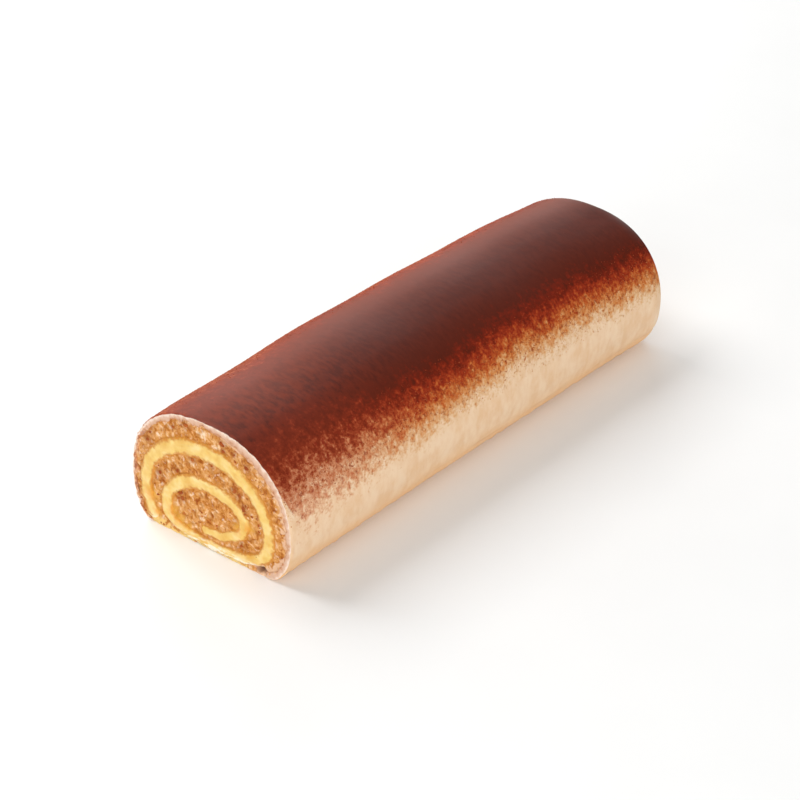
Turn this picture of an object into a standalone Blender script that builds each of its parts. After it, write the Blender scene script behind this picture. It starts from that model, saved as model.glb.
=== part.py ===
"""Almond roll cake: a rolled sheet of almond sponge with a custard filling under a cream coat.

The cake lies along X. Its cut face looks towards -X and the side with the fading cocoa towards -Y.
Every piece is a section drawn across the cake, in Y and Z, and extruded along X in short steps.
The steps are then bent, swollen and pressed a little, the way a hand-made roll is.
"""
import math

import bmesh
import bpy
import numpy as np
from mathutils import Vector

MM = 0.001

# The whole cake
LENGTH = 250.4 * MM            # between the two cut faces, measured on the middle line
HALF_WIDTH = 43.3 * MM         # of the near section, at its widest place
HEIGHT = 65.6 * MM             # of the near section
WIDEST_AT = 22.4 * MM          # height of the widest place
NEAR_INSET = 13.7 * MM         # how far the rounded foot turns in under the -Y side
FAR_INSET = 10.0 * MM          # the same under the +Y side
NEAR_SHOULDER = 2.16           # squareness of the -Y shoulder, where 2 is an ellipse
FAR_SHOULDER = 2.47            # squareness of the +Y shoulder
CROWN_SHIFT = -4.0 * MM        # the crown sits a little towards -Y

# Unevenness along the length
BOW = 2.6 * MM                 # sideways, at mid length
SWELL_WIDTH = 2.1 * MM         # added to the half width at mid length
SWELL_HEIGHT = 1.5 * MM        # added to the height at mid length
FAR_DROP = 0.8 * MM            # the far end is this much lower
NEAR_CUT_SKEW = -0.094         # the near cut turns away towards -Y, run over width
FAR_CUT_SKEW = -0.037          # the far cut, the same way
PINCH = 3.0 * MM               # the far rim is pressed in by this
PINCH_LENGTH = 9.0 * MM        # over this length
WAVE = 0.35 * MM               # height of the soft hand-made waves
WAVE_LENGTH = 92.0 * MM
WAVE_SIDE_PHASE = 1.1
WAVE_TOP_PHASE = 0.4
WAVE_TOP_RATE = 1.37           # waves on the top, for each wave at the side

# Coat of cream, its thickness at even spacing from the -Y foot over the crown to the +Y foot
COAT_THICKNESS = (3.0, 2.8, 3.2, 4.8, 3.2, 2.6, 2.4, 2.0, 1.8)

# Custard: where the band turns, as Y and Z from the middle of the base, with the thickness of
# the band there and the squareness of the quarter turn that ends there, all lengths in mm
CUSTARD_TURNS = (
    (3.5, 9.4, 4.8, 2.0),
    (-18.7, 22.0, 5.2, 2.0),
    (1.0, 33.0, 6.6, 2.0),
    (24.5, 13.0, 6.0, 2.0),
    (2.0, 3.0, 4.6, 2.5),
    (-31.5, 22.0, 6.2, 3.0),
    (0.0, 50.0, 8.4, 2.0),
    (35.6, 20.0, 6.0, 2.0),
    (23.0, 0.0, 8.0, 2.1),
)
TURN_STEPS = 8
OUTER_END_STEP = 5             # the outer end stops here in its last quarter, above the floor
END_ROUNDING = 4               # steps round each blunt end of the band
END_BLUNTNESS = 0.6            # how far an end bulges, as a share of half the thickness

GAP = 0.3 * MM                 # between neighbouring pieces
CUTTER_REACH = 5.0 * MM        # the slot's cutter runs past both cut faces

# Resolution
STEPS_ALONG = 12
PINCH_STEPS = (0.0, 0.45, 0.78, 0.95, 1.0)
FOOT_STEPS = 6
SHOULDER_STEPS = 15
SHARP_ANGLE = math.radians(40)

MATERIALS = {
    "sponge": ((0.47, 0.245, 0.095, 1.0), 0.85),
    "custard": ((0.90, 0.66, 0.20, 1.0), 0.42),
    "cream_coat": ((0.17, 0.055, 0.032, 1.0), 0.70),
}


def clear_scene():
    for item in list(bpy.data.objects):
        bpy.data.objects.remove(item, do_unlink=True)


def new_collection(name):
    collection = bpy.data.collections.new(name)
    bpy.context.scene.collection.children.link(collection)
    return collection


def make_material(name):
    colour, roughness = MATERIALS[name]
    material = bpy.data.materials.new(name)
    material.use_nodes = True
    shader = material.node_tree.nodes["Principled BSDF"]
    shader.inputs["Base Color"].default_value = colour
    shader.inputs["Roughness"].default_value = roughness
    material.diffuse_color = colour
    return material


def shoulder_point(angle):
    """A point of the upper outline: angle 0 at the -Y side, a half turn later at the +Y side."""
    across = -math.cos(angle)
    up = math.sin(angle)
    squareness = NEAR_SHOULDER if across < 0 else FAR_SHOULDER
    y = math.copysign(abs(across) ** (2 / squareness), across) * HALF_WIDTH
    z = WIDEST_AT + (HEIGHT - WIDEST_AT) * up ** (2 / squareness)
    return y, z


def foot_point(angle, side, inset):
    """A point of the rounded foot: angle 0 on the floor, a quarter turn later at the side."""
    y = side * (HALF_WIDTH - inset + inset * math.sin(angle))
    z = WIDEST_AT * (1 - math.cos(angle))
    return y, z


def outline():
    """The outer line of the section, from the -Y foot over the crown to the +Y foot."""
    quarter = math.pi / 2
    near = [foot_point(quarter * i / FOOT_STEPS, -1, NEAR_INSET) for i in range(FOOT_STEPS)]
    far = [foot_point(quarter * i / FOOT_STEPS, 1, FAR_INSET) for i in range(FOOT_STEPS)]
    over = [shoulder_point(quarter * i / SHOULDER_STEPS) for i in range(2 * SHOULDER_STEPS + 1)]
    points = near + over + far[::-1]
    return [Vector((y + CROWN_SHIFT * (z / HEIGHT) ** 2, z)) for y, z in points]


def left_normals(points):
    """Unit vectors square to an open line of points, to the left of its direction."""
    normals = []
    for i in range(len(points)):
        along = points[min(i + 1, len(points) - 1)] - points[max(i - 1, 0)]
        normals.append(Vector((-along.y, along.x)).normalized())
    return normals


def coat_thickness(points):
    """The coat's thickness at each point of the outline."""
    steps = [0.0]
    for previous, point in zip(points, points[1:]):
        steps.append(steps[-1] + (point - previous).length)
    places = np.linspace(0, steps[-1], len(COAT_THICKNESS))
    return [float(t) * MM for t in np.interp(steps, places, COAT_THICKNESS)]


def inner_line(points, clearance):
    """The outline moved in by the coat's thickness and a clearance, ending right above its feet."""
    thickness = coat_thickness(points)
    moved = [p - n * (t + clearance) for p, n, t in zip(points, left_normals(points), thickness)]
    for end in (0, -1):
        moved[end] = Vector((points[end].x, thickness[end] + clearance))
    return moved


def coat_section():
    outer = outline()
    return outer + inner_line(outer, 0)[::-1]


def sponge_section():
    """The sponge fills the coat and stands on the floor between its two feet."""
    outer = outline()
    inner = inner_line(outer, GAP)
    near_foot = outer[0].x + GAP
    far_foot = outer[-1].x - GAP
    start = [Vector((near_foot, 0)), Vector((near_foot, inner[0].y))]
    end = [Vector((far_foot, inner[-1].y)), Vector((far_foot, 0))]
    return start + inner + end


def quarter_turn(start, end, starts_upright):
    """Points from one turning place towards the next, along a quarter of a rounded oval."""
    squareness = end[3]
    points = []
    for i in range(TURN_STEPS):
        angle = math.pi / 2 * i / TURN_STEPS
        quick = math.sin(angle) ** (2 / squareness)
        slow = 1 - math.cos(angle) ** (2 / squareness)
        share_y, share_z = (slow, quick) if starts_upright else (quick, slow)
        shares = (share_y, share_z, i / TURN_STEPS)
        points.append([a + (b - a) * share for a, b, share in zip(start, end, shares)])
    return points


def custard_path():
    """Y, Z and thickness along the band; it runs upright at every second turning place."""
    path = []
    for i, (start, end) in enumerate(zip(CUSTARD_TURNS, CUSTARD_TURNS[1:])):
        path += quarter_turn(start, end, i % 2 == 1)
    return path[:OUTER_END_STEP - TURN_STEPS]


def blunt_end(centre, side, half):
    """Points round an end of the band, from the given side of it to the other."""
    outwards = Vector((side.y, -side.x))
    points = []
    for i in range(1, END_ROUNDING):
        angle = math.pi * i / END_ROUNDING
        points.append(centre + (side * math.cos(angle) + outwards * math.sin(angle) * END_BLUNTNESS) * half)
    return points


def band_section(grow):
    """The spiral band as one closed outline, made thicker on each side by grow."""
    path = custard_path()
    centre = [Vector((y, z)) * MM for y, z, _ in path]
    half = [thick * MM / 2 + grow for _, _, thick in path]
    normals = left_normals(centre)
    left = [c + n * h for c, n, h in zip(centre, normals, half)]
    right = [c - n * h for c, n, h in zip(centre, normals, half)]
    outer_end = blunt_end(centre[-1], normals[-1], half[-1])
    inner_end = blunt_end(centre[0], -normals[0], half[0])
    return left + outer_end + right[::-1] + inner_end


def stations():
    """Places along the length, closer together where the far rim rounds in."""
    straight = LENGTH - PINCH_LENGTH
    even = [straight * i / STEPS_ALONG for i in range(STEPS_ALONG)]
    return even + [straight + PINCH_LENGTH * share for share in PINCH_STEPS]


def shape_along(point):
    """Moves a point of the straight extrusion to its place in the uneven roll."""
    x, y, z = point
    share = x / LENGTH
    swell = 4 * share * (1 - share)
    width = 1 + SWELL_WIDTH * swell / HALF_WIDTH
    height = 1 + (SWELL_HEIGHT * swell - FAR_DROP * share) / HEIGHT
    into_rim = min(max((x - LENGTH + PINCH_LENGTH) / PINCH_LENGTH, 0), 1)
    pinch = 1 - PINCH / HALF_WIDTH * (1 - math.sqrt(1 - into_rim ** 2))
    phase = 2 * math.pi * x / WAVE_LENGTH
    wave_y = WAVE * math.sin(phase + WAVE_SIDE_PHASE) * z / HEIGHT
    wave_z = WAVE * math.sin(phase * WAVE_TOP_RATE + WAVE_TOP_PHASE) * z / HEIGHT
    skew = NEAR_CUT_SKEW * (1 - share) + FAR_CUT_SKEW * share
    return Vector((x + skew * y, BOW * swell + y * width * pinch + wave_y, z * height * pinch + wave_z))


def extrude_section(section, places):
    """A closed outline in Y and Z, extruded through the places along X and then shaped."""
    mesh = bmesh.new()
    corners = [mesh.verts.new((places[0], point.x, point.y)) for point in section]
    rim = mesh.faces.new(corners).edges[:]
    for previous, place in zip(places, places[1:]):
        grown = bmesh.ops.extrude_edge_only(mesh, edges=rim)["geom"]
        moved = [item for item in grown if isinstance(item, bmesh.types.BMVert)]
        bmesh.ops.translate(mesh, verts=moved, vec=(place - previous, 0, 0))
        rim = [item for item in grown if isinstance(item, bmesh.types.BMEdge) and item.is_boundary]
    bmesh.ops.edgeloop_fill(mesh, edges=rim)
    for vertex in mesh.verts:
        vertex.co = shape_along(vertex.co)
    bmesh.ops.recalc_face_normals(mesh, faces=mesh.faces)
    return mesh


def make_object(name, mesh, collection):
    data = bpy.data.meshes.new(name)
    mesh.to_mesh(data)
    mesh.free()
    data.shade_smooth()
    data.set_sharp_from_angle(angle=SHARP_ANGLE)
    item = bpy.data.objects.new(name, data)
    collection.objects.link(item)
    return item


def make_slot_cutter(collection):
    """The space of the custard with its clearance, open through both cut faces."""
    longer = [-CUTTER_REACH] + stations() + [LENGTH + CUTTER_REACH]
    mesh = extrude_section(band_section(GAP), longer)
    cutter = make_object("custard_slot", mesh, collection)
    cutter.hide_render = True
    cutter.display_type = "WIRE"
    return cutter


def make_sponge(collection, cutters):
    sponge = make_object("sponge", extrude_section(sponge_section(), stations()), collection)
    cut = sponge.modifiers.new("custard_slot", "BOOLEAN")
    cut.operation = "DIFFERENCE"
    cut.object = make_slot_cutter(cutters)
    return sponge


def make_custard(collection):
    return make_object("custard", extrude_section(band_section(0), stations()), collection)


def make_coat(collection):
    return make_object("cream_coat", extrude_section(coat_section(), stations()), collection)


def centre_on_origin(pieces, cutters):
    """Puts the middle of the cake's base at the origin."""
    corners = np.array([vertex.co[:] for piece in pieces for vertex in piece.data.vertices])
    low, high = corners.min(axis=0), corners.max(axis=0)
    middle = Vector(((low[0] + high[0]) / 2, (low[1] + high[1]) / 2, low[2]))
    for item in list(pieces) + list(cutters.objects):
        item.location = -middle


def main():
    clear_scene()
    cake = new_collection("almond_roll_cake")
    cutters = new_collection("cutters")
    pieces = [make_sponge(cake, cutters), make_custard(cake), make_coat(cake)]
    for piece in pieces:
        piece.data.materials.append(make_material(piece.name))
    centre_on_origin(pieces, cutters)


main()
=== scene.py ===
"""Almond roll cake, dressed: a cream coat dusted with cocoa round an almond sponge and its custard.

The lines of the section repeat those of the solids, with finer steps. Each piece is extruded from
them along X, its two cut faces are cut into a fine grid and roughened, and then the whole roll is
bent and swollen like the solids. Near and far are the two cuts, at X = 0 and at X = LENGTH; front
and back are the sides towards -Y and +Y. Lengths are in millimetres until a piece is finished.
"""

import math

import bmesh
import bpy
import numpy as np
from mathutils import Euler, Matrix, Vector, noise
from mathutils.kdtree import KDTree


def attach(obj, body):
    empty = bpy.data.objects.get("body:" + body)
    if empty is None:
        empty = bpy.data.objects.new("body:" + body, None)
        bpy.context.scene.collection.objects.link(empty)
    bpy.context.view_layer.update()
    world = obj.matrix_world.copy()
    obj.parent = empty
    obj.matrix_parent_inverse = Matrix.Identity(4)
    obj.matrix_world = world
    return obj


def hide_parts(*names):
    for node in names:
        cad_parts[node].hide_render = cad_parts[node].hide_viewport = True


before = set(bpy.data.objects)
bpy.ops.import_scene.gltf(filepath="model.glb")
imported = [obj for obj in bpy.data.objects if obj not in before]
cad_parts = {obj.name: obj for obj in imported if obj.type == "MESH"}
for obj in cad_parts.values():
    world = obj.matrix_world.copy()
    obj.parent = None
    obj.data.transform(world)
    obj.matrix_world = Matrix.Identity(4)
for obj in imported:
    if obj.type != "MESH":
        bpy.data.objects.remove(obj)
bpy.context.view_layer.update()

MM = 0.001
QUARTER = math.pi / 2

# The whole roll
LENGTH = 250.4                 # between the two cut faces, measured on the middle line
HALF_WIDTH = 43.3              # of the near section, at its widest place
HEIGHT = 65.6                  # of the near section
WIDEST_AT = 22.4               # height of the widest place
FRONT_INSET = 13.7             # how far the rounded foot turns in under the front
BACK_INSET = 10.0              # the same under the back
FRONT_SHOULDER = 2.16          # squareness of the front shoulder, where 2 is an ellipse
BACK_SHOULDER = 2.47           # squareness of the back shoulder
CROWN_SHIFT = -4.0             # the crown sits a little towards the front
BASE_MIDDLE = Vector((123.997, 1.822, 0.0))   # goes to the origin

# Unevenness along the length
BOW = 2.6                      # sideways, at mid length
SWELL_WIDTH = 2.1              # added to the half width at mid length
SWELL_HEIGHT = 1.5             # added to the height at mid length
FAR_DROP = 0.8                 # the far end is this much lower
NEAR_CUT_SKEW = -0.094         # the near cut turns away towards the front, run over width
FAR_CUT_SKEW = -0.037          # the far cut, the same way
PINCH = 3.0                    # the far rim is pressed in by this
PINCH_LENGTH = 9.0             # over this length
WAVE = 0.35                    # height of the soft hand-made waves
WAVE_LENGTH = 92.0
WAVE_SIDE_PHASE = 1.1
WAVE_TOP_PHASE = 0.4
WAVE_TOP_RATE = 1.37

# Coat of cream, its thickness at even spacing from the front foot over the crown to the back foot
COAT_THICKNESS = (3.0, 2.8, 3.2, 4.8, 3.2, 2.6, 2.4, 2.0, 1.8)
COAT_INSET = 0.42              # the dressed coat lies this far inside its solid, with room for grains,
INSET_RUN = 60.0               # from this far behind the near cut, and less nearer to it
LAP = 0.1                      # the coat and the custard reach this far into the sponge
SKIN = 0.05                    # what lies deeper under the outline has no cocoa

# Cocoa, measured along the coat from its foot
FADE_FROM = 38.0               # bare cream below this
FADE_MIDDLE = 50.0
FADE_HEIGHT = 30.0             # the cocoa is dense this much higher
BACK_FADE_LIFT = 9.0           # the fade on the back lies this much higher
PATCH_FADE_LIFT = 2.5          # and so does the fade on a stretch beyond the middle,
PATCH_SPAN = (-25, 15, 70, 95)   # which sets in, is full, starts to end and is over at these X
ROSY_UP_TO = -105.0            # the dusting is rosy beside the near cut, up to this X from the middle,
GOLDEN_FROM = -20.0            # and golden from this one on

# How much the cocoa gleams, by places round the coat
GLEAM = ((64, 0.0), (74, 0.4), (84, 0.95), (92, 0.62), (108, 0.58), (124, 0.22), (140, 0.0))

# Custard: where the band turns, as Y and Z from the middle of the base, with the thickness of
# the band there and the squareness of the quarter turn that ends there
CUSTARD_TURNS = (
    (3.5, 9.4, 4.8, 2.0),
    (-18.7, 22.0, 5.2, 2.0),
    (1.0, 33.0, 6.6, 2.0),
    (24.5, 13.0, 6.0, 2.0),
    (2.0, 3.0, 4.6, 2.5),
    (-31.5, 22.0, 6.2, 3.0),
    (0.0, 50.0, 8.4, 2.0),
    (35.6, 20.0, 6.0, 2.0),
    (23.0, 0.0, 8.0, 2.1),
)
OUTER_END_SHARE = 0.5          # the outer end stops after this share of its last quarter turn
END_BLUNTNESS = 0.6            # how far an end bulges, as a share of half the thickness

# Fineness
TURN_STEPS = 60
FOOT_STEPS = 60
SHOULDER_STEPS = 120
END_ROUNDING = 12
OUTLINE_SPACING = 1.15
BAND_SPACING = 0.5
COAT_STEP = 1.25
CORE_STEP = 12.0
PINCH_STEPS = 10
FACE_GRID = 0.38               # on the cut faces

SHARP_ANGLE = math.radians(62)

# Roughness of the cut faces
WOBBLE_COARSE = 0.7            # sideways wander of the layers' edges
WOBBLE_COARSE_SIZE = 5.5
WOBBLE_FINE = 0.45
WOBBLE_FINE_SIZE = 1.8
WOBBLE_MARGIN = 1.5            # the wander dies out this far from the coat's outside
WOBBLE_SEED = 1                # keeps the wander the same in every run
RING_WANDER = 1.1              # times more wander where the cream meets the crumb
RING_WANDER_WIDTH = 2.2
FACE_INSET = 0.9               # the sponge's face lies about this far behind the cut plane
CRAG = 0.27
CRAG_SIZE = 2.4
PIT = 0.3
PIT_SIZE = 3.0
PIT_SHARE = 0.2                # of the crumb's cells are open pits,
PIT_RADIUS = 0.6               # each this share of its cell
PIT_CHOICE = 7.3               # scatters the choice of cells
HOLLOW_PLACE = Vector((-26.2, 2.4))   # the torn crumb at the foot of the near face, beside the coat
HOLLOW_SIZE = Vector((2.6, 1.3))
HOLLOW_DEPTH = 3.5
CUSTARD_PROUD = 0.5            # the custard's middle stands this far above the sponge's face
CUSTARD_RIPPLE = 0.18
WET_AND_GLINT_UP_TO = 7.0                # the custard of the lowest turn is wet and carries painted highlight streaks, up to this height,
FAR_WET_AND_GLINT = 0.4              # and this much of both at the far end
RING_INSET = 0.55              # the coat's cut ring lies about this far behind the cut plane
RING_RIPPLE = 0.25
CRUMBLY_FROM = 72.0            # crumb sticks to the ring below this, measured from its back foot,
CRUMBLY_TO = 40.0              # and covers it below this
RIM_ROUNDING = 0.25            # the coat's outer edge at a cut is worn down by this,
RIM_UNEVENNESS = 1.6           # give or take this share,
RIM_SIZE = 4.0                 # changing over about this length

# Unevenness of the coat
CREASE_AT = 16.5               # a crease runs along the coat this far up from its front foot
CREASE_FROM = 100.0            # and is full this far from the near cut
CREASE_DEPTH = 0.3
CREASE_WIDTH = 1.1
CREASE_WANDER = 2.5
CREASE_WANDER_SIZE = 30.0
LUMPS_AT = 8.0                 # the cream bulges unevenly this far up from its feet
LUMPS_WIDTH = 5.0
CONTACT = 4.0                  # below this the coat comes down to the floor

# Dents in the coat: depth, length along the roll, length round it, and layer of the noise
SOFT_DENTS = ((0.2, 38, 26, 0), (0.03, 4.5, 30, 3), (0.02, 3.2, 3.2, 7))
LUMPS = (0.45, 3.6, 4, 11)

# Cream that the knife dragged over the crumb: how far in from the ring, by places round the coat
DRAG_PLACES = (0, 14, 24, 36, 52, 62, 74, 84, 92, 130, 195)
DRAG_REACHES = (5.0, 4.6, 1.4, 3.4, 2.8, 1.2, 0.7, 2.6, 0.9, 0.2, 0.0)
YOLK_REACH = 5.4               # custard is dragged this far down from the band's outer end
PRESSED_FROM = -19.0           # and over the pressed crumb under the lowest turn, between these Y
PRESSED_TO = 34.0
PRESSED_HEIGHT = 2.8

# Syrup that has soaked in on the near face: Y, Z and reach
SYRUP = (
    (20.5, 12.0, 3.0), (17.4, 8.6, 2.8), (12.6, 6.8, 1.8),
    (32.6, 15.0, 3.2), (-14.4, 18.6, 2.4), (-21.0, 21.4, 2.2), (30.5, 7.0, 2.0),
)

# Bits of almond on the near face: Y, Z, size, and shade from 0, skin, to 1, nut
LARGE_BITS = (
    (-8.8, 58.2, 3.4, 0.1), (-6.9, 56.2, 3.0, 0.95), (-9.2, 55.0, 2.2, 0.1), (-14.8, 55.6, 1.8, 0.1),
    (16.4, 22.8, 3.8, 0.1), (15.2, 20.4, 2.8, 0.2), (17.4, 19.6, 2.0, 0.3), (-18.6, 30.2, 3.2, 0.1),
    (-19.4, 28.0, 2.0, 0.3), (-21.2, 52.2, 2.6, 0.05), (10.6, 59.4, 2.8, 0.3), (17.8, 55.6, 2.0, 0.25),
    (31.2, 47.4, 2.0, 0.1), (32.8, 42.8, 2.4, 0.15), (27.4, 28.4, 2.2, 0.1), (17.4, 33.6, 2.2, 0.1),
    (-14.2, 37.6, 3.0, 0.3), (-16.6, 36.0, 2.4, 0.25), (8.4, 43.2, 2.2, 0.35), (-2.2, 44.6, 1.8, 0.15),
    (13.2, 38.4, 1.8, 0.8), (22.6, 38.8, 1.8, 0.85), (-24.6, 8.8, 1.8, 0.15), (5.6, 20.8, 1.5, 0.8),
    (-20.6, 26.4, 1.8, 0.9), (-16.4, 10.4, 1.8, 0.2), (-35.6, 24.6, 1.8, 0.7), (39.6, 9.4, 2.0, 0.1),
    (41.2, 11.8, 2.0, 0.2), (41.0, 9.2, 1.7, 0.35), (39.6, 6.6, 2.0, 0.15), (37.4, 4.0, 1.7, 0.3),
    (-28.8, 1.5, 1.5, 0.5), (-31.4, 3.2, 1.8, 0.65), (-34.6, 5.4, 1.6, 0.75), (41.8, 17.4, 1.5, 0.3),
)

# Small bits of almond, strewn over both faces
SMALL_BITS = 45                # on each face
BIT_SEED = 5
BIT_SIZES = (0.8, 1.7)
BIT_SHADES = (0.15, 0.3, 0.4, 0.5)
BIT_MARGIN = 0.8               # from the custard and from the cream
BIT_PROUD = 0.12               # a bit's middle stands out of the crumb by this share of its size

# Cocoa grains
GRAIN_COUNT = 20000
GRAIN_SEED = 11
GRAIN_LEVEL = 54               # most grains lie this far up the side, measured along the coat,
GRAIN_SPREAD = 6
GRAIN_TAIL = 3                 # and thin out further down
GRAIN_LEVELS = (38, 68)
GRAIN_SIZES = (0.2, 0.7)
GRAIN_GROWTH = 0.13
GRAIN_PROUD = 0.1              # a grain's middle stands off the coat by this share of its size
CLEAR_OF_CUTS = (0.4, 4.0)     # no grain lies this close to the near and to the far cut

# Lights: name, place in metres, side of the square and watts
LIGHTS = (
    ("key", (-0.2, 0.9, 1.1), 0.8, 14),
    ("glow", (0.75, 1.0, 0.42), 0.9, 6),
    ("fill_front", (-0.3, -1.3, 0.5), 0.9, 8),
    ("fill_left", (-1.2, -0.5, 0.6), 0.9, 7),
    ("fill_right", (1.35, 0.0, 0.3), 0.9, 2.5),
)
ROOM_LIGHT = 0.3
FLOOR_REACH = 6.0              # metres from the middle to each side

# Camera, in metres
CAMERA_PLACE = (-0.6299, -0.5771, 0.6047)
CAMERA_TURN = 42.746           # degrees from +X towards +Y
CAMERA_DOWN = 34.69            # degrees below the horizon
CAMERA_LENS = 104.2
SENSOR = 36.0


def clamped(value):
    """A value held between 0 and 1."""
    return min(max(value, 0), 1)


def shoulder_point(angle):
    """A point of the upper outline: angle 0 at the front, a half turn later at the back."""
    across = -math.cos(angle)
    up = max(math.sin(angle), 0.0)
    squareness = FRONT_SHOULDER if across < 0 else BACK_SHOULDER
    y = math.copysign(abs(across) ** (2 / squareness), across) * HALF_WIDTH
    z = WIDEST_AT + (HEIGHT - WIDEST_AT) * up ** (2 / squareness)
    return y, z


def foot_point(angle, side, inset):
    """A point of the rounded foot: angle 0 on the floor, a quarter turn later at the side."""
    y = side * (HALF_WIDTH - inset + inset * math.sin(angle))
    z = WIDEST_AT * (1 - math.cos(angle))
    return y, z


def distances(points):
    """How far along an open line each of its points lies."""
    steps = [0.0]
    for previous, point in zip(points, points[1:]):
        steps.append(steps[-1] + (Vector(point) - Vector(previous)).length)
    return steps


def spread_evenly(points, spacing):
    """The same open line with even spacing; a point may carry more values behind Y and Z."""
    steps = distances([point[:2] for point in points])
    count = round(steps[-1] / spacing)
    places = np.linspace(0, steps[-1], count + 1)
    columns = [np.interp(places, steps, column) for column in np.array(points).T]
    return np.array(columns).T


def outline():
    """The outer line of the section, from the front foot over the crown to the back foot."""
    front = [foot_point(QUARTER * i / FOOT_STEPS, -1, FRONT_INSET) for i in range(FOOT_STEPS)]
    back = [foot_point(QUARTER * i / FOOT_STEPS, 1, BACK_INSET) for i in range(FOOT_STEPS)]
    over = [shoulder_point(QUARTER * i / SHOULDER_STEPS) for i in range(2 * SHOULDER_STEPS + 1)]
    points = [(y + CROWN_SHIFT * (z / HEIGHT) ** 2, z) for y, z in front + over + back[::-1]]
    return [Vector(point) for point in spread_evenly(points, OUTLINE_SPACING)]


def left_normals(points):
    """Unit vectors square to an open line of points, to the left of its direction."""
    normals = []
    for i in range(len(points)):
        along = points[min(i + 1, len(points) - 1)] - points[max(i - 1, 0)]
        normals.append(Vector((-along.y, along.x)).normalized())
    return normals


def coat_thickness():
    """The coat's thickness at each point of the outline."""
    places = np.linspace(0, GIRTH, len(COAT_THICKNESS))
    return [float(thick) for thick in np.interp(OUTER_PLACES, places, COAT_THICKNESS)]


def inner_line(clearance):
    """The outline moved in by the coat's thickness and a clearance, ending right above its feet."""
    thickness = [thick + clearance for thick in COAT_AT]
    moved = [p - n * t for p, n, t in zip(OUTER, OUTER_NORMALS, thickness)]
    for end in (0, -1):
        moved[end] = Vector((OUTER[end].x, thickness[end]))
    return moved


def sponge_section():
    """The sponge fills the coat and stands on the floor between its two feet."""
    return [Vector((OUTER[0].x, 0))] + inner_line(0) + [Vector((OUTER[-1].x, 0))]


def quarter_turn(start, end, starts_upright):
    """Points from one turning place towards the next, along a quarter of a rounded oval."""
    squareness = end[3]
    points = []
    for i in range(TURN_STEPS):
        angle = QUARTER * i / TURN_STEPS
        quick = math.sin(angle) ** (2 / squareness)
        slow = 1 - math.cos(angle) ** (2 / squareness)
        share_y, share_z = (slow, quick) if starts_upright else (quick, slow)
        shares = (share_y, share_z, i / TURN_STEPS)
        points.append([a + (b - a) * share for a, b, share in zip(start, end, shares)])
    return points


def custard_path():
    """Y, Z and thickness at even spacing along the band."""
    path = []
    for i, (start, end) in enumerate(zip(CUSTARD_TURNS, CUSTARD_TURNS[1:])):
        path += quarter_turn(start, end, i % 2 == 1)
    left_over = round(TURN_STEPS * (1 - OUTER_END_SHARE)) - 1
    return spread_evenly(path[:-left_over], BAND_SPACING)


def lookup(points):
    """Finds the nearest of some points of the section."""
    tree = KDTree(len(points))
    for i, point in enumerate(points):
        tree.insert((0, point[0], point[1]), i)
    tree.balance()
    return tree


OUTER = outline()
OUTER_NORMALS = left_normals(OUTER)
OUTER_PLACES = distances(OUTER)
OUTER_TREE = lookup(OUTER)
GIRTH = OUTER_PLACES[-1]
COAT_AT = coat_thickness()
PATH = custard_path()
PATH_MIDDLE = [Vector(point[:2]) for point in PATH]
PATH_NORMALS = left_normals(PATH_MIDDLE)
PATH_TREE = lookup(PATH)
BIT_TREE = lookup(LARGE_BITS)


def blunt_end(centre, side, half):
    """Points round an end of the band, from the given side of it to the other."""
    outwards = Vector((side.y, -side.x))
    points = []
    for i in range(1, END_ROUNDING):
        angle = math.pi * i / END_ROUNDING
        points.append(centre + (side * math.cos(angle) + outwards * math.sin(angle) * END_BLUNTNESS) * half)
    return points


def band_section(grow):
    """The spiral band as one closed outline, made thicker on each side by grow."""
    half = [thickness / 2 + grow for thickness in PATH[:, 2]]
    left = [c + n * h for c, n, h in zip(PATH_MIDDLE, PATH_NORMALS, half)]
    right = [c - n * h for c, n, h in zip(PATH_MIDDLE, PATH_NORMALS, half)]
    outer_end = blunt_end(PATH_MIDDLE[-1], PATH_NORMALS[-1], half[-1])
    inner_end = blunt_end(PATH_MIDDLE[0], -PATH_NORMALS[0], half[0])
    return left + outer_end + right[::-1] + inner_end


def shape_along(x, y, z):
    """Moves a point of the straight extrusion to its place in the uneven roll, in metres."""
    share = x / LENGTH
    swell = 4 * share * (1 - share)
    width = 1 + SWELL_WIDTH * swell / HALF_WIDTH
    height = 1 + (SWELL_HEIGHT * swell - FAR_DROP * share) / HEIGHT
    into_rim = clamped((x - LENGTH + PINCH_LENGTH) / PINCH_LENGTH)
    pinch = 1 - PINCH / HALF_WIDTH * (1 - math.sqrt(1 - into_rim ** 2))
    phase = 2 * math.pi * x / WAVE_LENGTH
    wave_y = WAVE * math.sin(phase + WAVE_SIDE_PHASE) * z / HEIGHT
    wave_z = WAVE * math.sin(phase * WAVE_TOP_RATE + WAVE_TOP_PHASE) * z / HEIGHT
    skew = NEAR_CUT_SKEW * (1 - share) + FAR_CUT_SKEW * share
    shaped = Vector((x + skew * y, BOW * swell + y * width * pinch + wave_y, z * height * pinch + wave_z))
    return (shaped - BASE_MIDDLE) * MM


def depth_under(nearest, y, z):
    """How deep a place of the section lies under the outline, square to it at its nearest point."""
    return max((OUTER[nearest] - Vector((y, z))).dot(OUTER_NORMALS[nearest]), 0)


def wobble(x, y, z):
    """How far the layers' edges wander at a place in the section, most where cream meets crumb."""
    place = Vector((x, y, z))
    _, nearest, distance = OUTER_TREE.find((0, y, z))
    from_ring = (distance - COAT_AT[nearest]) / RING_WANDER_WIDTH
    share = min(depth_under(nearest, y, z) / WOBBLE_MARGIN, 1) * (1 + RING_WANDER * math.exp(-from_ring ** 2))
    coarse = noise.noise_vector(place / WOBBLE_COARSE_SIZE) * WOBBLE_COARSE
    fine = noise.noise_vector(place / WOBBLE_FINE_SIZE) * WOBBLE_FINE
    shift = (coarse + fine) * share
    return shift.y, shift.z * clamped(z / WOBBLE_MARGIN)


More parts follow.
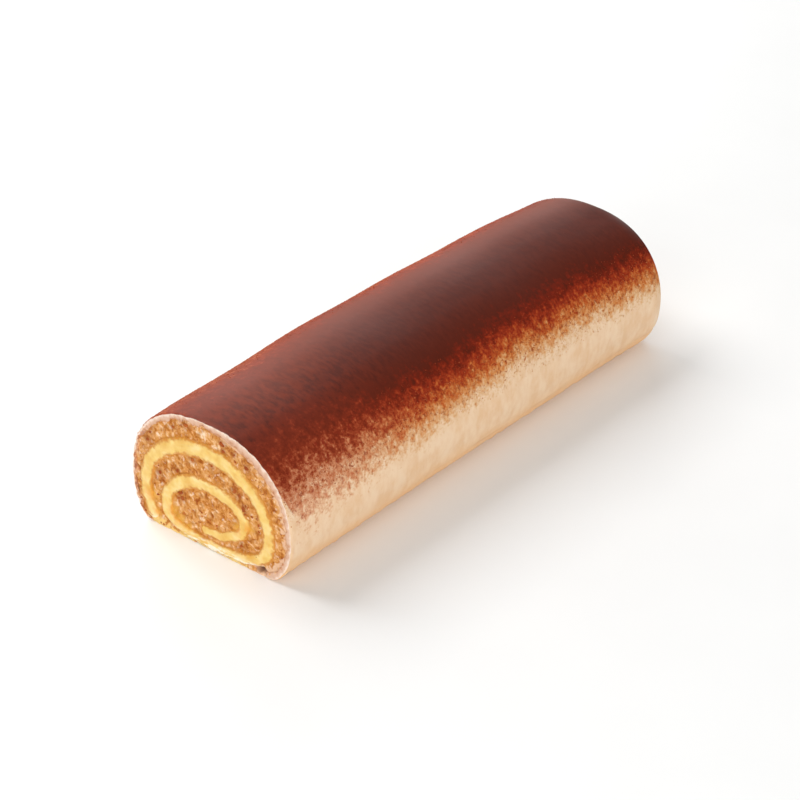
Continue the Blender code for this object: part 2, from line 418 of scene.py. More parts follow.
def extrude_loops(loops, step):
    """Closed lines in Y and Z, extruded together along the roll and closed by gridded ends."""
    mesh = bmesh.new()
    rim = []
    for loop in loops:
        corners = [mesh.verts.new((0, point[0], point[1])) for point in loop]
        rim += [mesh.edges.new(pair) for pair in zip(corners, corners[1:] + corners[:1])]
    straight = LENGTH - PINCH_LENGTH
    far_rim, long_edges = extrude_rim(mesh, rim, straight)
    for i in range(PINCH_STEPS):
        reach = math.sin(QUARTER * (i + 1) / PINCH_STEPS) - math.sin(QUARTER * i / PINCH_STEPS)
        far_rim, _ = extrude_rim(mesh, far_rim, PINCH_LENGTH * reach)
    close_end(mesh, far_rim)
    close_end(mesh, rim)
    bmesh.ops.subdivide_edges(mesh, edges=long_edges, cuts=round(straight / step) - 1)
    return mesh


def extrude_rim(mesh, rim, reach):
    """Extrudes the open lines of one end along X. Gives the new lines and the edges that lead to them."""
    grown = bmesh.ops.extrude_edge_only(mesh, edges=rim)["geom"]
    moved = [item for item in grown if isinstance(item, bmesh.types.BMVert)]
    bmesh.ops.translate(mesh, verts=moved, vec=(reach, 0, 0))
    level = set(moved)
    new_rim = []
    leading = []
    for vertex in moved:
        for edge in vertex.link_edges:
            if not set(edge.verts) <= level:
                leading.append(edge)
            elif edge.verts[0] == vertex:
                new_rim.append(edge)
    return new_rim, leading


def close_end(mesh, rim):
    """A flat face between the lines of one end, cut into a fine grid."""
    walls = set(mesh.faces)
    bmesh.ops.triangle_fill(mesh, use_beauty=True, use_dissolve=True, edges=rim)
    faces = [face for face in mesh.faces if face not in walls]
    edges = list(dict.fromkeys(edge for face in faces for edge in face.edges))
    verts = list(dict.fromkeys(vertex for face in faces for vertex in face.verts))
    cut = faces + edges + verts
    corners = np.array([vertex.co[:] for vertex in verts])
    for axis in (1, 2):
        low, high = corners[:, axis].min(), corners[:, axis].max()
        square = Vector((0, 0, 0))
        square[axis] = 1
        for place in np.linspace(low, high, round((high - low) / FACE_GRID))[1:-1]:
            cut = bmesh.ops.bisect_plane(
                mesh, geom=cut, dist=0.001, plane_co=square * place, plane_no=square)["geom"]


def end_of(x):
    """-1 on the near cut plane, 1 on the far one and 0 between them."""
    if x < 0.01:
        return -1
    return 1 if x > LENGTH - 0.01 else 0


def pushed_in(x, depth):
    """Where a place goes when its cut face is pushed in by depth; the walls of the far rim follow."""
    if end_of(x) < 0:
        return x + depth
    return x - depth * max(1 - (LENGTH - x) / PINCH_LENGTH, 0) ** 2


def crag(y, z, end):
    """How far the rough crumb stands out at a place of a cut face."""
    return noise.fractal(Vector((end * 10, y, z)) / CRAG_SIZE, 0.9, 2.1, 3) * CRAG


def crumb_relief(y, z, end):
    """How deep the sponge's face lies at a place, how far down a pit and how far in the hollow."""
    spots, centres = noise.voronoi(Vector((end * 10, y, z)) / PIT_SIZE)
    is_pit = noise.cell(centres[0] * PIT_CHOICE) < PIT_SHARE
    pit = max(0.0, 1 - (spots[0] / PIT_RADIUS) ** 2) if is_pit else 0.0
    hollow = 0.0
    if end < 0:
        away = Vector((y, z)) - HOLLOW_PLACE
        hollow = math.exp(-(away.x / HOLLOW_SIZE.x) ** 4 - (away.y / HOLLOW_SIZE.y) ** 4)
    return FACE_INSET - crag(y, z, end) + PIT * pit + HOLLOW_DEPTH * hollow, pit, hollow


def syrup(y, z):
    """How much syrup has soaked in at a place of the near face."""
    ragged = 1 + 0.5 * noise.noise(Vector((y / 1.6, z / 1.6, 2)))
    shares = ((Vector((y, z)) - Vector((spot_y, spot_z))).length / reach for spot_y, spot_z, reach in SYRUP)
    return math.exp(-(min(shares) / ragged) ** 2)


def toasted(y, z):
    """How dark the crumb of the near face is round the large bits of almond."""
    ragged = 1 + 0.6 * noise.noise(Vector((y / 1.8, z / 1.8, 6)))
    _, nearest, distance = BIT_TREE.find((0, y, z))
    size, shade = LARGE_BITS[nearest][2:]
    return math.exp(-(distance / (0.55 * size + 0.9) / ragged) ** 2) if shade < 0.5 else 0.0


def smears(y, z):
    """How much cream and how much custard the knife has dragged over a place of the crumb."""
    _, nearest, distance = OUTER_TREE.find((0, y, z))
    uneven = 0.75 + noise.noise(Vector((y / 1.7, z / 1.7, 4))) + 0.7 * noise.noise(Vector((y / 4, z / 4, 9)))
    reach = float(np.interp(OUTER_PLACES[nearest], DRAG_PLACES, DRAG_REACHES)) * uneven
    cream = clamped(reach - distance + COAT_AT[nearest])
    from_end = (Vector((y, z)) - PATH_MIDDLE[-1]).length - PATH[-1][2] / 2
    below = clamped((PATH_MIDDLE[-1].y - z) / 3)
    custard = clamped(YOLK_REACH * uneven - from_end) * below
    pressed = clamped(PRESSED_HEIGHT * uneven - z) if PRESSED_FROM < y < PRESSED_TO else 0.0
    return cream, max(custard, pressed)


def custard_relief(y, z, end):
    """How deep the custard's face lies at a place, and how far off the band's middle the place is."""
    _, nearest, distance = PATH_TREE.find((0, y, z))
    across = min(distance / (PATH[nearest][2] / 2), 1)
    dome = CUSTARD_PROUD * math.sqrt(1 - across ** 3)
    along = nearest * BAND_SPACING
    side = (Vector((y, z)) - PATH_MIDDLE[nearest]).dot(PATH_NORMALS[nearest])
    streak = noise.noise(Vector((along / 9, side / 1.1, end * 9))) * CUSTARD_RIPPLE
    lump = noise.noise(Vector((end * 3, y / 5, z / 5))) * CUSTARD_RIPPLE
    return FACE_INSET - 0.1 - dome - streak - lump, across


def dented(x, around, depth, length_along, length_around, layer):
    """How deep one kind of dent is at a place of the coat."""
    return depth * noise.noise(Vector((x / length_along, around / length_around, layer)))


def coat_dent(x, around):
    """How far inside its solid the coat's outer surface lies."""
    up = min(around, GIRTH - around)
    inset = COAT_INSET * min(x / INSET_RUN, 1)
    soft = sum(dented(x, around, *kind) for kind in SOFT_DENTS)
    wander = CREASE_WANDER * noise.noise(Vector((x / CREASE_WANDER_SIZE, 5, 1)))
    from_crease = (around - CREASE_AT - wander) / CREASE_WIDTH
    crease = CREASE_DEPTH * math.exp(-from_crease ** 2) * min(x / CREASE_FROM, 1)
    lumpy = dented(x, around, *LUMPS) * math.exp(-((up - LUMPS_AT) / LUMPS_WIDTH) ** 2)
    return (inset + soft + crease + lumpy) * min(up / CONTACT, 1)


def write_piece(name, mesh, rows):
    """A piece that rides on the cake, with a row of named values for each point of its mesh."""
    for vertex in mesh.verts:
        vertex.co = shape_along(*vertex.co)
    bmesh.ops.recalc_face_normals(mesh, faces=mesh.faces)
    data = bpy.data.meshes.new(name)
    mesh.to_mesh(data)
    mesh.free()
    data.shade_smooth()
    data.set_sharp_from_angle(angle=SHARP_ANGLE)
    return place_piece(name, data, {title: [row[title] for row in rows] for title in rows[0]})


def place_piece(name, data, values):
    """Adds the values to the mesh, where its material reads them, and puts the piece on the cake."""
    for title, column in values.items():
        data.attributes.new(title, "FLOAT", "POINT").data.foreach_set("value", column)
    piece = bpy.data.objects.new(name, data)
    bpy.context.scene.collection.objects.link(piece)
    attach(piece, "root")
    return piece


def crumb_values(y, z, end, pit, hollow):
    """What the sponge's material reads at a place; the stains are on the near face alone."""
    _, nearest, distance = PATH_TREE.find((0, y, z))
    cream, custard = smears(y, z) if end else (0.0, 0.0)
    return {
        "pit": pit if end else 0.0,
        "hollow": hollow,
        "from_custard": distance - PATH[nearest][2] / 2,
        "cream_smear": cream,
        "custard_smear": custard,
        "syrup": syrup(y, z) if end < 0 else 0.0,
        "toasted": toasted(y, z) if end < 0 else 0.0,
    }


def make_sponge():
    """The sponge, with the custard's slot through it and open crumb on both cut faces."""
    mesh = extrude_loops([sponge_section(), band_section(0)], CORE_STEP)
    rows = []
    for vertex in mesh.verts:
        x, y, z = vertex.co
        end = end_of(x)
        depth, pit, hollow = crumb_relief(y, z, end or 1)
        rows.append(crumb_values(y, z, end, pit, hollow))
        shift_y, shift_z = wobble(x, y, z)
        vertex.co = (pushed_in(x, depth), y + shift_y, z + shift_z)
    piece = write_piece("sponge_crumb", mesh, rows)
    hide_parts("sponge")
    return piece


def make_custard():
    """The custard's spiral band, a little proud of the sponge on both cut faces."""
    mesh = extrude_loops([band_section(LAP)], CORE_STEP)
    rows = []
    for vertex in mesh.verts:
        x, y, z = vertex.co
        end = end_of(x)
        depth, across = custard_relief(y, z, end or 1)
        wet = clamped((WET_AND_GLINT_UP_TO - z) / WET_AND_GLINT_UP_TO) * (1 if end < 0 else FAR_WET_AND_GLINT)
        rows.append({"across": across, "syrup": syrup(y, z) if end < 0 else 0.0, "wet": wet})
        shift_y, shift_z = wobble(x, y, z)
        vertex.co = (pushed_in(x, depth), y + shift_y, z + shift_z)
    piece = write_piece("custard_cream", mesh, rows)
    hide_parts("custard")
    return piece


def ring_relief(y, z, end, around):
    """How far a place of the coat's cut ring stands out; crumb sticks to it on the back side."""
    lump = noise.noise(Vector((end * 4, y / 2.5, z / 2.5))) * RING_RIPPLE
    crumbly = clamped((around - GIRTH + CRUMBLY_FROM) / (CRUMBLY_FROM - CRUMBLY_TO))
    return lump + crag(y, z, end) * crumbly


def rim_wear(y, z, end):
    """How far the coat's outer edge is worn down at a place of a cut."""
    return RIM_ROUNDING * (1 + RIM_UNEVENNESS * noise.noise(Vector((y / RIM_SIZE, z / RIM_SIZE, end * 5))))


def make_coat():
    """The coat of cream with its cocoa; its two cut rings are bare cream."""
    mesh = extrude_loops([OUTER + inner_line(LAP)[::-1]], COAT_STEP)
    rows = []
    for vertex in mesh.verts:
        x, y, z = vertex.co
        end = end_of(x)
        _, nearest, _ = OUTER_TREE.find((0, y, z))
        around = OUTER_PLACES[nearest]
        under = depth_under(nearest, y, z)
        inwards = min(under / COAT_AT[nearest], 1)
        bare = 0.0 if under < SKIN else 1.0
        rows.append({"around": around, "bare": bare, "inwards": inwards, "from_cut": x})
        dent = coat_dent(x, around) + (rim_wear(y, z, end) if end else 0.0)
        shift = Vector(wobble(x, y, z)) - OUTER_NORMALS[nearest] * dent * (1 - inwards)
        depth = RING_INSET - ring_relief(y, z, end or 1, around)
        vertex.co = (pushed_in(x, depth), y + shift.x, max(z + shift.y, 0))
    piece = write_piece("dusted_coat", mesh, rows)
    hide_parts("cream_coat")
    return piece


class Signal:
    """An output socket of a material. Arithmetic on it adds the Math node that does the sum."""

    def __init__(self, finish, socket):
        self.finish = finish
        self.socket = socket

    def combine(self, operation, first, second):
        return self.finish.add("Math", {"operation": operation}, {0: first, 1: second})

    def __add__(self, other):
        return self.combine("ADD", self, other)

    def __sub__(self, other):
        return self.combine("SUBTRACT", self, other)

    def __rsub__(self, other):
        return self.combine("SUBTRACT", other, self)

    def __abs__(self):
        return self.combine("ABSOLUTE", self, 0)

    def __mul__(self, other):
        return self.combine("MULTIPLY", self, other)

    __radd__ = __add__
    __rmul__ = __mul__

    def least(self, other):
        return self.combine("MINIMUM", self, other)

    def most(self, other):
        return self.combine("MAXIMUM", self, other)


class Finish:
    """A material and its nodes."""

    def __init__(self, name):
        self.material = bpy.data.materials.new(name)
        self.material.use_nodes = True
        self.tree = self.material.node_tree
        self.tree.nodes.clear()

    def add(self, kind, settings, inputs, output=0):
        """Adds a node: its settings first, then its sockets by place, name or identifier."""
        node = self.tree.nodes.new("ShaderNode" + kind)
        for title, value in settings.items():
            if title == "stops":
                self.set_stops(node.color_ramp, value)
            else:
                setattr(node, title, value)
        for title, value in inputs.items():
            socket = self.find_socket(node, title)
            if isinstance(value, Signal):
                self.tree.links.new(value.socket, socket)
            else:
                socket.default_value = value
        return Signal(self, node.outputs[output])

    @staticmethod
    def find_socket(node, title):
        if isinstance(title, int):
            return node.inputs[title]
        return next(socket for socket in node.inputs if title in (socket.identifier, socket.name))

    @staticmethod
    def set_stops(ramp, stops):
        while len(ramp.elements) < len(stops):
            ramp.elements.new(0.5)
        for element, (place, shade) in zip(ramp.elements, stops):
            element.position = place
            element.color = shade

    def value(self, name):
        """A value that the mesh carries at its points."""
        return self.add("Attribute", {"attribute_name": name}, {}, 2)

    def place(self, stretch=(1, 1, 1)):
        """The object's own coordinates in millimetres, drawn out along each axis by stretch."""
        own = self.add("TexCoord", {}, {}, 3)
        scale = tuple(1 / (MM * part) for part in stretch)
        return self.add("VectorMath", {"operation": "MULTIPLY"}, {0: own, 1: scale})

    def noise(self, place, size, detail=2.0, rough=0.5, twist=0.0):
        sockets = {"Vector": place, "Scale": 1 / size, "Detail": detail, "Roughness": rough}
        return self.add("TexNoise", {}, {**sockets, "Distortion": twist})

    def rise(self, value, low, high):
        """0 below low and 1 above high, with a smooth rise between."""
        sockets = {"Value": value, "From Min": low, "From Max": high}
        return self.add("MapRange", {"interpolation_type": "SMOOTHSTEP"}, sockets)

    def ramp(self, value, stops):
        return self.add("ValToRGB", {"stops": stops}, {"Fac": value})

    def mix(self, share, first, second):
        sockets = {"Factor_Float": share, "A_Color": first, "B_Color": second}
        return self.add("Mix", {"data_type": "RGBA"}, sockets, 2)

    def bump(self, height, distance, strength=1.0):
        sockets = {"Height": height, "Distance": distance * MM, "Strength": strength}
        return self.add("Bump", {}, sockets)

    def surface(self, sockets):
        return self.add("BsdfPrincipled", {}, sockets)

    def done(self, shader):
        output = self.tree.nodes.new("ShaderNodeOutputMaterial")
        self.tree.links.new(shader.socket, output.inputs["Surface"])
        return self.material


def colour(red, green, blue):
    """A colour given as it looks on a screen, 0 to 255, for a shader's socket."""
    shares = (part / 255 for part in (red, green, blue))
    return tuple(s / 12.92 if s <= 0.04045 else ((s + 0.055) / 1.055) ** 2.4 for s in shares) + (1.0,)


def grey(share):
    """A share as a colour, for a ramp that gives a factor."""
    return (share, share, share, 1.0)


def coat_finish():
    """Cream under cocoa: dense over the crown, thinning into fine streaks and grains down both sides."""
    finish = Finish("cocoa_over_cream")
    place = finish.place()
    around = finish.value("around")
    bare = finish.value("bare")
    along = finish.add("SeparateXYZ", {}, {"Vector": place})
    near = 1 - finish.rise(along, ROSY_UP_TO, GOLDEN_FROM)
    level = dusting_level(finish, place, along, around, near)
    cream = finish.surface({
        "Base Color": finish.mix(bare, cream_colour(finish, around), ring_colour(finish, place, around)),
        "Roughness": 0.5, "Normal": finish.bump(finish.noise(place, 2.2, 4.0, 0.6), 0.25, 0.5),
        "Subsurface Weight": 0.15, "Subsurface Radius": (1.0, 0.75, 0.5), "Subsurface Scale": 1.5 * MM,
    })
    cocoa = cocoa_surface(finish, place, around, cocoa_colour(finish, level, around, near))
    cover = finish.rise(level, FADE_FROM - 3, FADE_FROM + 5) * (1 - bare) * (1 - wiped(finish, place, around))
    return finish.done(finish.add("MixShader", {}, {0: cover, 1: cream, 2: cocoa}))


def wiped(finish, place, around):
    """1 where the knife has wiped the thin dusting off beside the near cut."""
    ragged = (finish.noise(place, 2.0, 3.0) - 0.5) * 4
    reach = (1 - finish.rise(around, 40, 56)) * 4.4
    clear = 1 - finish.rise(finish.value("from_cut") + ragged - reach, -0.8, 0.8)
    return clear * (1 - finish.rise(around, 50, 58))


def dusting_level(finish, place, along, around, near):
    """How far up the coat a place counts for its dusting, once the fade is made ragged."""
    side = around.least(GIRTH - BACK_FADE_LIFT - around)
    start, full, last, over = PATCH_SPAN
    lift = (finish.rise(along, start, full) - finish.rise(along, last, over)) * PATCH_FADE_LIFT
    streaks = finish.noise(finish.place((1.0, 2.0, 2.0)), 1.8, 2.0, 0.6) - 0.5
    specks = finish.noise(place, 1.4, 2.0, 0.6) - 0.5
    clumps = finish.noise(finish.place((1.0, 1.2, 1.2)), 3.4, 2.0) - 0.5
    drifts = finish.noise(place, 26.0, 1.0) - 0.5
    ragged = streaks * 9 + specks * 15 + clumps * 17
    rise = (side - lift - FADE_MIDDLE) * (1 - near * 0.3)
    return FADE_MIDDLE + rise + ragged * (1 + near * 0.4) + drifts * 8


def cocoa_colour(finish, level, around, near):
    """Dark over the crown, thin on the sides, and lighter red towards the back: partly thinner cocoa there,
    partly painted light where the back faces the key.
    """
    thin = thin_dusting(finish, level, near)
    tint = finish.mix(finish.rise(level, 66, 78), thin, crown_dusting(finish, near))
    # Lighter red towards the back and its edge: partly thinner cocoa, partly painted light from the key
    # behind
    blush_and_painted_light = finish.rise(around + near * 12, 90, 126) * (0.36 - near * 0.16)
    blush_and_painted_light = blush_and_painted_light + finish.rise(around, 114, 132) * near * 0.42
    blush_and_painted_light = blush_and_painted_light * (1 - finish.rise(around, 130, 142))
    return finish.mix(blush_and_painted_light, tint, colour(184, 84, 48))


def thin_dusting(finish, level, near):
    """Golden where cream shines through, rosy near the cut, with darker clots between."""
    share = (level - FADE_FROM) * (1 / FADE_HEIGHT)
    golden = finish.ramp(share, [
        (0.0, colour(228, 198, 164)), (0.14, colour(220, 182, 142)), (0.26, colour(212, 158, 106)),
        (0.38, colour(202, 128, 70)), (0.5, colour(184, 88, 40)), (0.64, colour(154, 52, 25)),
        (0.8, colour(114, 34, 17)), (1.0, colour(88, 31, 17)),
    ])
    rosy = finish.ramp(share, [
        (0.0, colour(228, 197, 162)), (0.16, colour(218, 174, 138)), (0.34, colour(200, 138, 102)),
        (0.5, colour(186, 112, 76)), (0.62, colour(154, 70, 42)), (0.76, colour(128, 47, 25)),
        (1.0, colour(108, 37, 19)),
    ])
    clots = finish.rise(finish.noise(finish.place((1.0, 1.3, 1.3)), 1.7, 2.0, 0.6), 0.54, 0.68)
    clots = clots * (finish.rise(share, 0.12, 0.4) - finish.rise(share, 0.7, 0.9)) * 0.7
    return finish.mix(clots, finish.mix(near, golden, rosy), colour(126, 36, 22))


def crown_dusting(finish, near):
    """Dense cocoa with short strokes in it, stronger near the cut."""
    strokes = finish.rise(finish.noise(finish.place((1.0, 2.4, 2.4)), 2.0, 3.0, 0.6), 0.3, 0.7)
    crown = finish.mix(strokes, colour(81, 29, 17), colour(92, 34, 20))
    near_crown = finish.mix(strokes, colour(80, 27, 14), colour(122, 43, 20))
    return finish.mix(near * 0.85, crown, near_crown)


def cocoa_surface(finish, place, around, tint):
    """Dry powder, but damp enough over the crown to gleam."""
    relief = finish.bump(finish.noise(place, 1.1, 4.0, 0.6), 0.06, 0.4)
    dry = finish.surface({
        "Base Color": tint, "Roughness": 0.8, "Specular IOR Level": 0.05, "Normal": relief})
    damp = finish.surface({
        "Base Color": tint, "Roughness": 0.46, "Specular IOR Level": 0.3, "Normal": relief})
    span = GLEAM[-1][0]
    gleam = finish.ramp(around * (1 / span), [(spot / span, grey(share)) for spot, share in GLEAM])
    return finish.add("MixShader", {}, {0: gleam, 1: dry, 2: damp})


def cream_colour(finish, around):
    """Bare cream on the sides, with a painted warm reflection towards the floor and a faint painted shade
    line along the crease in the front.
    """
    soft = finish.rise(finish.noise(finish.place((1.0, 2.0, 2.0)), 5.0, 3.0, 0.6), 0.3, 0.7)
    pale = finish.mix(soft, colour(223, 185, 144), colour(231, 202, 169))
    # Painted warm reflected light towards the floor, weaker on the back side
    low = 1 - finish.rise(around.least(GIRTH - around), 7, 26)
    low = low * (1 - finish.rise(around, 90, 100) * 0.85)
    tint = finish.mix(low, pale, colour(233, 182, 124))
    # A painted shade line along the crease, in patches, and only away from the near cut
    wander = (finish.noise(finish.place((1.0, 1000.0, 1000.0)), 30.0) - 0.5) * 4
    patchy = finish.rise(finish.noise(finish.place(), 12.0), 0.35, 0.6)
    crease = 1 - finish.rise(abs(around - wander - CREASE_AT), 0.1, 1.0)
    crease = crease * patchy * finish.rise(finish.value("from_cut"), 60, 120)
    return finish.mix(crease * 0.4, tint, colour(206, 150, 104))


def ring_colour(finish, place, around):
    """The cream where it is cut through: smudged with crumb inwards, and most of all at the back."""
    deep = finish.value("inwards") + (finish.noise(place, 2.2, 3.0) - 0.5) * 1.2
    ring = finish.ramp(deep, [
        (0.1, colour(242, 219, 203)), (0.4, colour(225, 188, 161)),
        (0.75, colour(217, 170, 139)), (0.95, colour(199, 142, 104)),
    ])
    crumbly = finish.rise(around, GIRTH - CRUMBLY_FROM, GIRTH - CRUMBLY_TO) * finish.rise(deep, 0.2, 0.5)
    smudged = finish.rise(deep, 0.8, 1.1) * 0.7
    crumb = finish.ramp(finish.noise(place, 2.0, 3.0, 0.6), [
        (0.36, colour(166, 90, 44)), (0.5, colour(206, 136, 80)), (0.64, colour(236, 188, 144)),
    ])
    return finish.mix(smudged.most(crumbly * 0.95), ring, crumb)


def sponge_finish():
    """Golden crumb, mottled with darker and paler ground almond, moister along the custard, with painted
    shade in its pits and in the torn hollow.
    """
    finish = Finish("almond_crumb")
    place = finish.place()
    tint = finish.ramp(finish.noise(place, 3.2, 4.0, 0.62, 0.4), [
        (0.31, colour(159, 81, 23)), (0.43, colour(202, 130, 57)),
        (0.57, colour(226, 168, 103)), (0.69, colour(249, 217, 183)),
    ])
    flecks = finish.noise(finish.place((1.0, 0.9, 1.2)), 2.4, 3.0, 0.5, 0.5)
    tint = finish.mix(finish.rise(flecks, 0.6, 0.7) * 0.75, tint, colour(158, 74, 28))
    tint = finish.mix((1 - finish.rise(flecks, 0.3, 0.42)) * 0.6, tint, colour(249, 223, 197))
    # Painted shade in the open pits of the crumb
    tint = finish.mix(finish.value("pit") * 0.35, tint, colour(140, 70, 28))
    tint = finish.mix(finish.value("toasted") * 0.6, tint, colour(152, 78, 36))
    moist = 1 - finish.rise(finish.value("from_custard") + finish.noise(place, 2.5) * 2, 0.9, 2.6)
    tint = finish.mix(moist * 0.5, tint, colour(212, 138, 46))
    tint = finish.mix(finish.value("syrup") * 0.75, tint, colour(232, 172, 70))
    tint = finish.mix(finish.value("cream_smear") * 0.85, tint, colour(236, 196, 162))
    tint = finish.mix(finish.value("custard_smear"), tint, colour(244, 206, 130))
    # Painted shade: the torn hollow at the foot is coloured dark, as the shadow in the recess
    tint = finish.mix(finish.value("hollow"), tint, colour(104, 42, 18))
    return finish.done(finish.surface({
        "Base Color": tint, "Roughness": 0.85, "Specular IOR Level": 0.15,
        "Normal": finish.bump(finish.noise(place, 1.4, 4.0, 0.55), 0.2, 0.6),
        "Subsurface Weight": 0.15, "Subsurface Radius": (1.0, 0.6, 0.3), "Subsurface Scale": 1.2 * MM,
    }))


def custard_finish():
    """Egg custard with a satin cut surface, deeper in colour along its edges, and wet and glossy near the
    floor, with painted highlight streaks there.
    """
    finish = Finish("egg_custard")
    place = finish.place()
    tint = finish.ramp(finish.noise(place, 6.5, 3.0), [
        (0.3, colour(229, 176, 74)), (0.5, colour(240, 202, 112)), (0.7, colour(248, 221, 154)),
    ])
    rim = finish.rise(finish.value("across") + (finish.noise(place, 2.0) - 0.5) * 0.9, 0.55, 1.0)
    tint = finish.mix(rim * 0.95, tint, colour(206, 131, 26))
    tint = finish.mix(finish.value("syrup") * 0.85, tint, colour(232, 158, 44))
    # Near-white streaks on the wet custard near the floor: a painted highlight
    streaks = finish.rise(finish.noise(finish.place((1.0, 2.4, 0.7)), 2.0, 3.0, 0.6), 0.4, 0.58)
    wet = finish.value("wet")
    tint = finish.mix(finish.rise(wet, 0.2, 0.6) * streaks * 0.95, tint, colour(255, 246, 222))
    return finish.done(finish.surface({
        "Base Color": tint, "Roughness": 0.42 - wet * 0.25,
        "Normal": finish.bump(finish.noise(place, 1.6, 3.0, 0.6), 0.16, 0.6),
        "Subsurface Weight": 0.25, "Subsurface Radius": (1.0, 0.6, 0.2), "Subsurface Scale": 2.0 * MM,
    }))


def grain_finish():
    """Loose cocoa, from dark grains to ones with cream on them."""
    finish = Finish("cocoa_grain")
    tint = finish.ramp(finish.value("shade"), [
        (0.0, colour(146, 58, 32)), (0.4, colour(172, 84, 46)),
        (0.7, colour(200, 124, 76)), (1.0, colour(220, 170, 126)),
    ])
    bump = finish.bump(finish.noise(finish.place(), 0.2), 0.05, 0.6)
    return finish.done(finish.surface({
        "Base Color": tint, "Roughness": 0.85, "Specular IOR Level": 0.05, "Normal": bump}))


def almond_finish():
    """Ground almonds: red-brown skin on some of the bits, pale nut on others."""
    finish = Finish("ground_almond")
    uneven = (finish.noise(finish.place(), 0.9) - 0.5) * 0.3
    tint = finish.ramp(finish.value("shade") + uneven, [
        (0.0, colour(148, 66, 28)), (0.4, colour(186, 104, 48)),
        (0.65, colour(222, 162, 96)), (1.0, colour(242, 206, 158)),
    ])
    bump = finish.bump(finish.noise(finish.place(), 0.4, 3.0), 0.1, 0.6)
    return finish.done(finish.surface({
        "Base Color": tint, "Roughness": 0.85, "Specular IOR Level": 0.2, "Normal": bump}))


def floor_finish():
    finish = Finish("pale_floor")
    tint = finish.mix(finish.noise(finish.place(), 60.0), colour(243, 243, 242), colour(247, 247, 246))
    return finish.done(finish.surface({"Base Color": tint, "Roughness": 0.6}))


def grain_template():
    """The points and triangles of one small cocoa grain."""
    mesh = bmesh.new()
    bmesh.ops.create_uvsphere(mesh, u_segments=4, v_segments=2, radius=0.5)
    return read_template(mesh)


def bit_template():
    """The points and triangles of one angular bit of almond."""
    mesh = bmesh.new()
    bmesh.ops.create_icosphere(mesh, subdivisions=1, radius=0.5)
    for vertex in mesh.verts:
        vertex.co *= 1 + 0.5 * noise.noise(vertex.co * 4)
    return read_template(mesh)


def read_template(mesh):
    points = np.array([vertex.co[:] for vertex in mesh.verts])
    faces = np.array([[vertex.index for vertex in face.verts] for face in mesh.faces])
    mesh.free()
    return points, faces


def frame_of(matrix, centre):
    """The turn, size and place of one copy, as three rows of four."""
    return [[*matrix[row], centre[row]] for row in range(3)]


def join_copies(name, points, faces, frames, shades):
    """One mesh from many moved, turned and scaled copies of a small shape."""
    turned = np.einsum("nij,pj->npi", frames[:, :, :3], points) + frames[:, None, :, 3]
    firsts = np.arange(len(frames)) * len(points)
    corners = (faces[None] + firsts[:, None, None]).reshape(-1, 3)
    data = bpy.data.meshes.new(name)
    data.from_pydata(turned.reshape(-1, 3), [], corners)
    data.shade_smooth()
    return place_piece(name, data, {"shade": np.repeat(shades, len(points))})


def coat_surface(x, around):
    """A place on the dressed coat and the direction out of it there."""
    position = float(np.interp(around, OUTER_PLACES, range(len(OUTER))))
    index = min(int(position), len(OUTER) - 2)
    point = OUTER[index].lerp(OUTER[index + 1], position - index)
    normal = OUTER_NORMALS[index].lerp(OUTER_NORMALS[index + 1], position - index).normalized()
    point = point - normal * coat_dent(x, around)
    return shape_along(x, point.x, point.y), Vector((0, normal.x, normal.y))


def make_grains():
    """Loose cocoa grains on the coat, thickest where the dusting fades out."""
    draw = np.random.default_rng(GRAIN_SEED)
    points, faces = grain_template()
    frames = []
    shades = []
    while len(frames) < GRAIN_COUNT:
        x = draw.uniform(CLEAR_OF_CUTS[0], LENGTH - CLEAR_OF_CUTS[1])
        level = GRAIN_LEVEL + GRAIN_SPREAD * draw.standard_normal() - GRAIN_TAIL * draw.exponential()
        if not GRAIN_LEVELS[0] < level < GRAIN_LEVELS[1]:
            continue
        in_front = draw.random() < 0.5
        place, outwards = coat_surface(x, level if in_front else GIRTH - BACK_FADE_LIFT - level)
        size = min(GRAIN_SIZES[0] + GRAIN_GROWTH * draw.exponential(), GRAIN_SIZES[1]) * MM
        turn = outwards.to_track_quat("Z", "X").to_matrix()
        spin = Matrix.Rotation(draw.uniform(0, 2 * math.pi), 3, "Z")
        wide, long, flat = draw.uniform((0.8, 0.8, 0.3), (1.3, 1.5, 0.5)) * size
        matrix = turn @ spin @ Matrix.Diagonal((wide, long, flat))
        frames.append(frame_of(matrix, place + outwards * size * GRAIN_PROUD))
        shades.append(min(max(draw.normal(0.55 - (level - 50) / 20, 0.2), 0), 1))
    piece = join_copies("cocoa_grains", points, faces, np.array(frames), np.array(shades))
    return piece


def is_crumb(y, z):
    """Whether a place of the section is crumb, clear of the custard and of the cream."""
    _, nearest, distance = PATH_TREE.find((0, y, z))
    if distance < PATH[nearest][2] / 2 + BIT_MARGIN:
        return False
    _, nearest, distance = OUTER_TREE.find((0, y, z))
    inside = depth_under(nearest, y, z) > 0
    return inside and distance > COAT_AT[nearest] + BIT_MARGIN and z > BIT_MARGIN


def small_bits(draw):
    """Y, Z, size and shade of the small bits of one face."""
    bits = []
    while len(bits) < SMALL_BITS:
        y, z = draw.uniform((-HALF_WIDTH, 0), (HALF_WIDTH, HEIGHT))
        if is_crumb(y, z):
            bits.append((y, z, draw.uniform(*BIT_SIZES), draw.choice(BIT_SHADES)))
    return bits


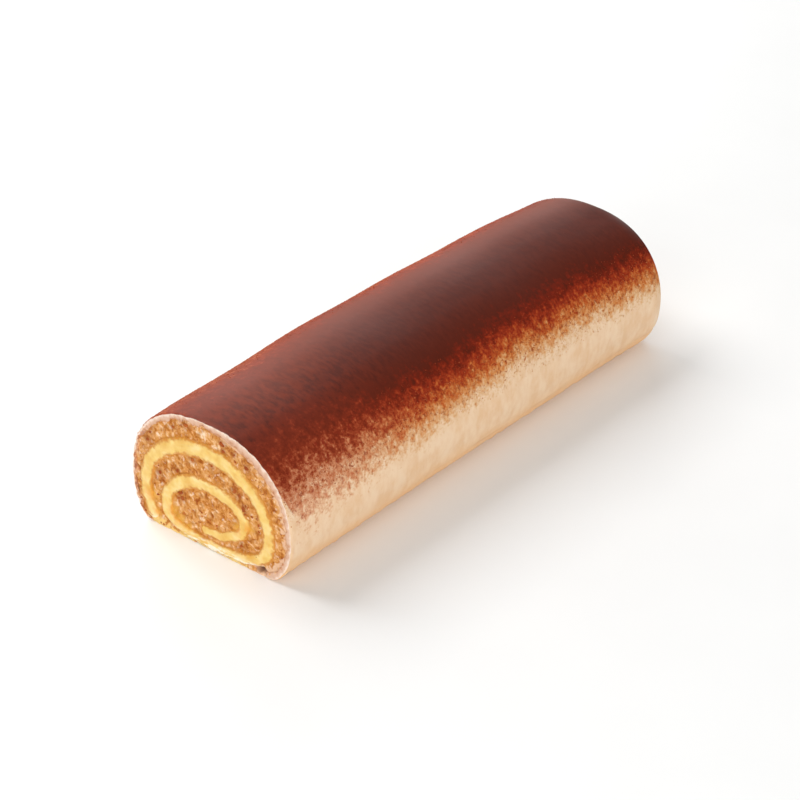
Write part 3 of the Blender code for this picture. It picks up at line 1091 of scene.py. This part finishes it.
def make_almond_bits():
    """Bits of almond that stand out of the crumb on both cut faces."""
    draw = np.random.default_rng(BIT_SEED)
    points, faces = bit_template()
    frames = []
    shades = []
    for end, bits in ((-1, list(LARGE_BITS) + small_bits(draw)), (1, small_bits(draw))):
        for y, z, size, shade in bits:
            x = (0 if end < 0 else LENGTH) - end * (crumb_relief(y, z, end)[0] + BIT_PROUD * size)
            turn = Euler(draw.uniform(0, 2 * math.pi, 3)).to_matrix()
            matrix = turn @ Matrix.Diagonal(draw.uniform((0.5, 0.8, 0.7), (0.8, 1.2, 1.1)) * size * MM)
            frames.append(frame_of(matrix, shape_along(x, y, z)))
            shades.append(shade)
    piece = join_copies("almond_bits", points, faces, np.array(frames), np.array(shades))
    piece.data.shade_flat()
    return piece


def add_floor():
    mesh = bmesh.new()
    bmesh.ops.create_grid(mesh, x_segments=2, y_segments=2, size=FLOOR_REACH)
    data = bpy.data.meshes.new("floor")
    mesh.to_mesh(data)
    mesh.free()
    floor = bpy.data.objects.new("floor", data)
    bpy.context.scene.collection.objects.link(floor)
    floor.data.materials.append(floor_finish())


def add_light(name, place, size, power):
    """A square soft light that looks at the cake."""
    data = bpy.data.lights.new(name, "AREA")
    data.size = size
    data.energy = power
    light = bpy.data.objects.new(name, data)
    light.location = place
    light.rotation_euler = (-Vector(place)).to_track_quat("-Z", "Y").to_euler()
    bpy.context.scene.collection.objects.link(light)


def add_lights():
    """A soft key from above and behind, a low glow behind it for the sheen, fills and a dim room."""
    for light in LIGHTS:
        add_light(*light)
    world = bpy.data.worlds.new("studio")
    bpy.context.scene.world = world
    world.use_nodes = True
    background = world.node_tree.nodes["Background"]
    background.inputs["Color"].default_value = (1, 1, 1, 1)
    background.inputs["Strength"].default_value = ROOM_LIGHT
    bpy.context.scene.view_settings.view_transform = "Standard"


def add_camera():
    data = bpy.data.cameras.new("camera")
    data.lens = CAMERA_LENS
    data.sensor_width = SENSOR
    camera = bpy.data.objects.new("camera", data)
    camera.location = CAMERA_PLACE
    camera.rotation_euler = (math.radians(90 - CAMERA_DOWN), 0, math.radians(CAMERA_TURN - 90))
    bpy.context.scene.collection.objects.link(camera)
    bpy.context.scene.camera = camera


noise.seed_set(WOBBLE_SEED)
make_coat().data.materials.append(coat_finish())
make_sponge().data.materials.append(sponge_finish())
make_custard().data.materials.append(custard_finish())
make_grains().data.materials.append(grain_finish())
make_almond_bits().data.materials.append(almond_finish())
add_floor()
add_lights()
add_camera()
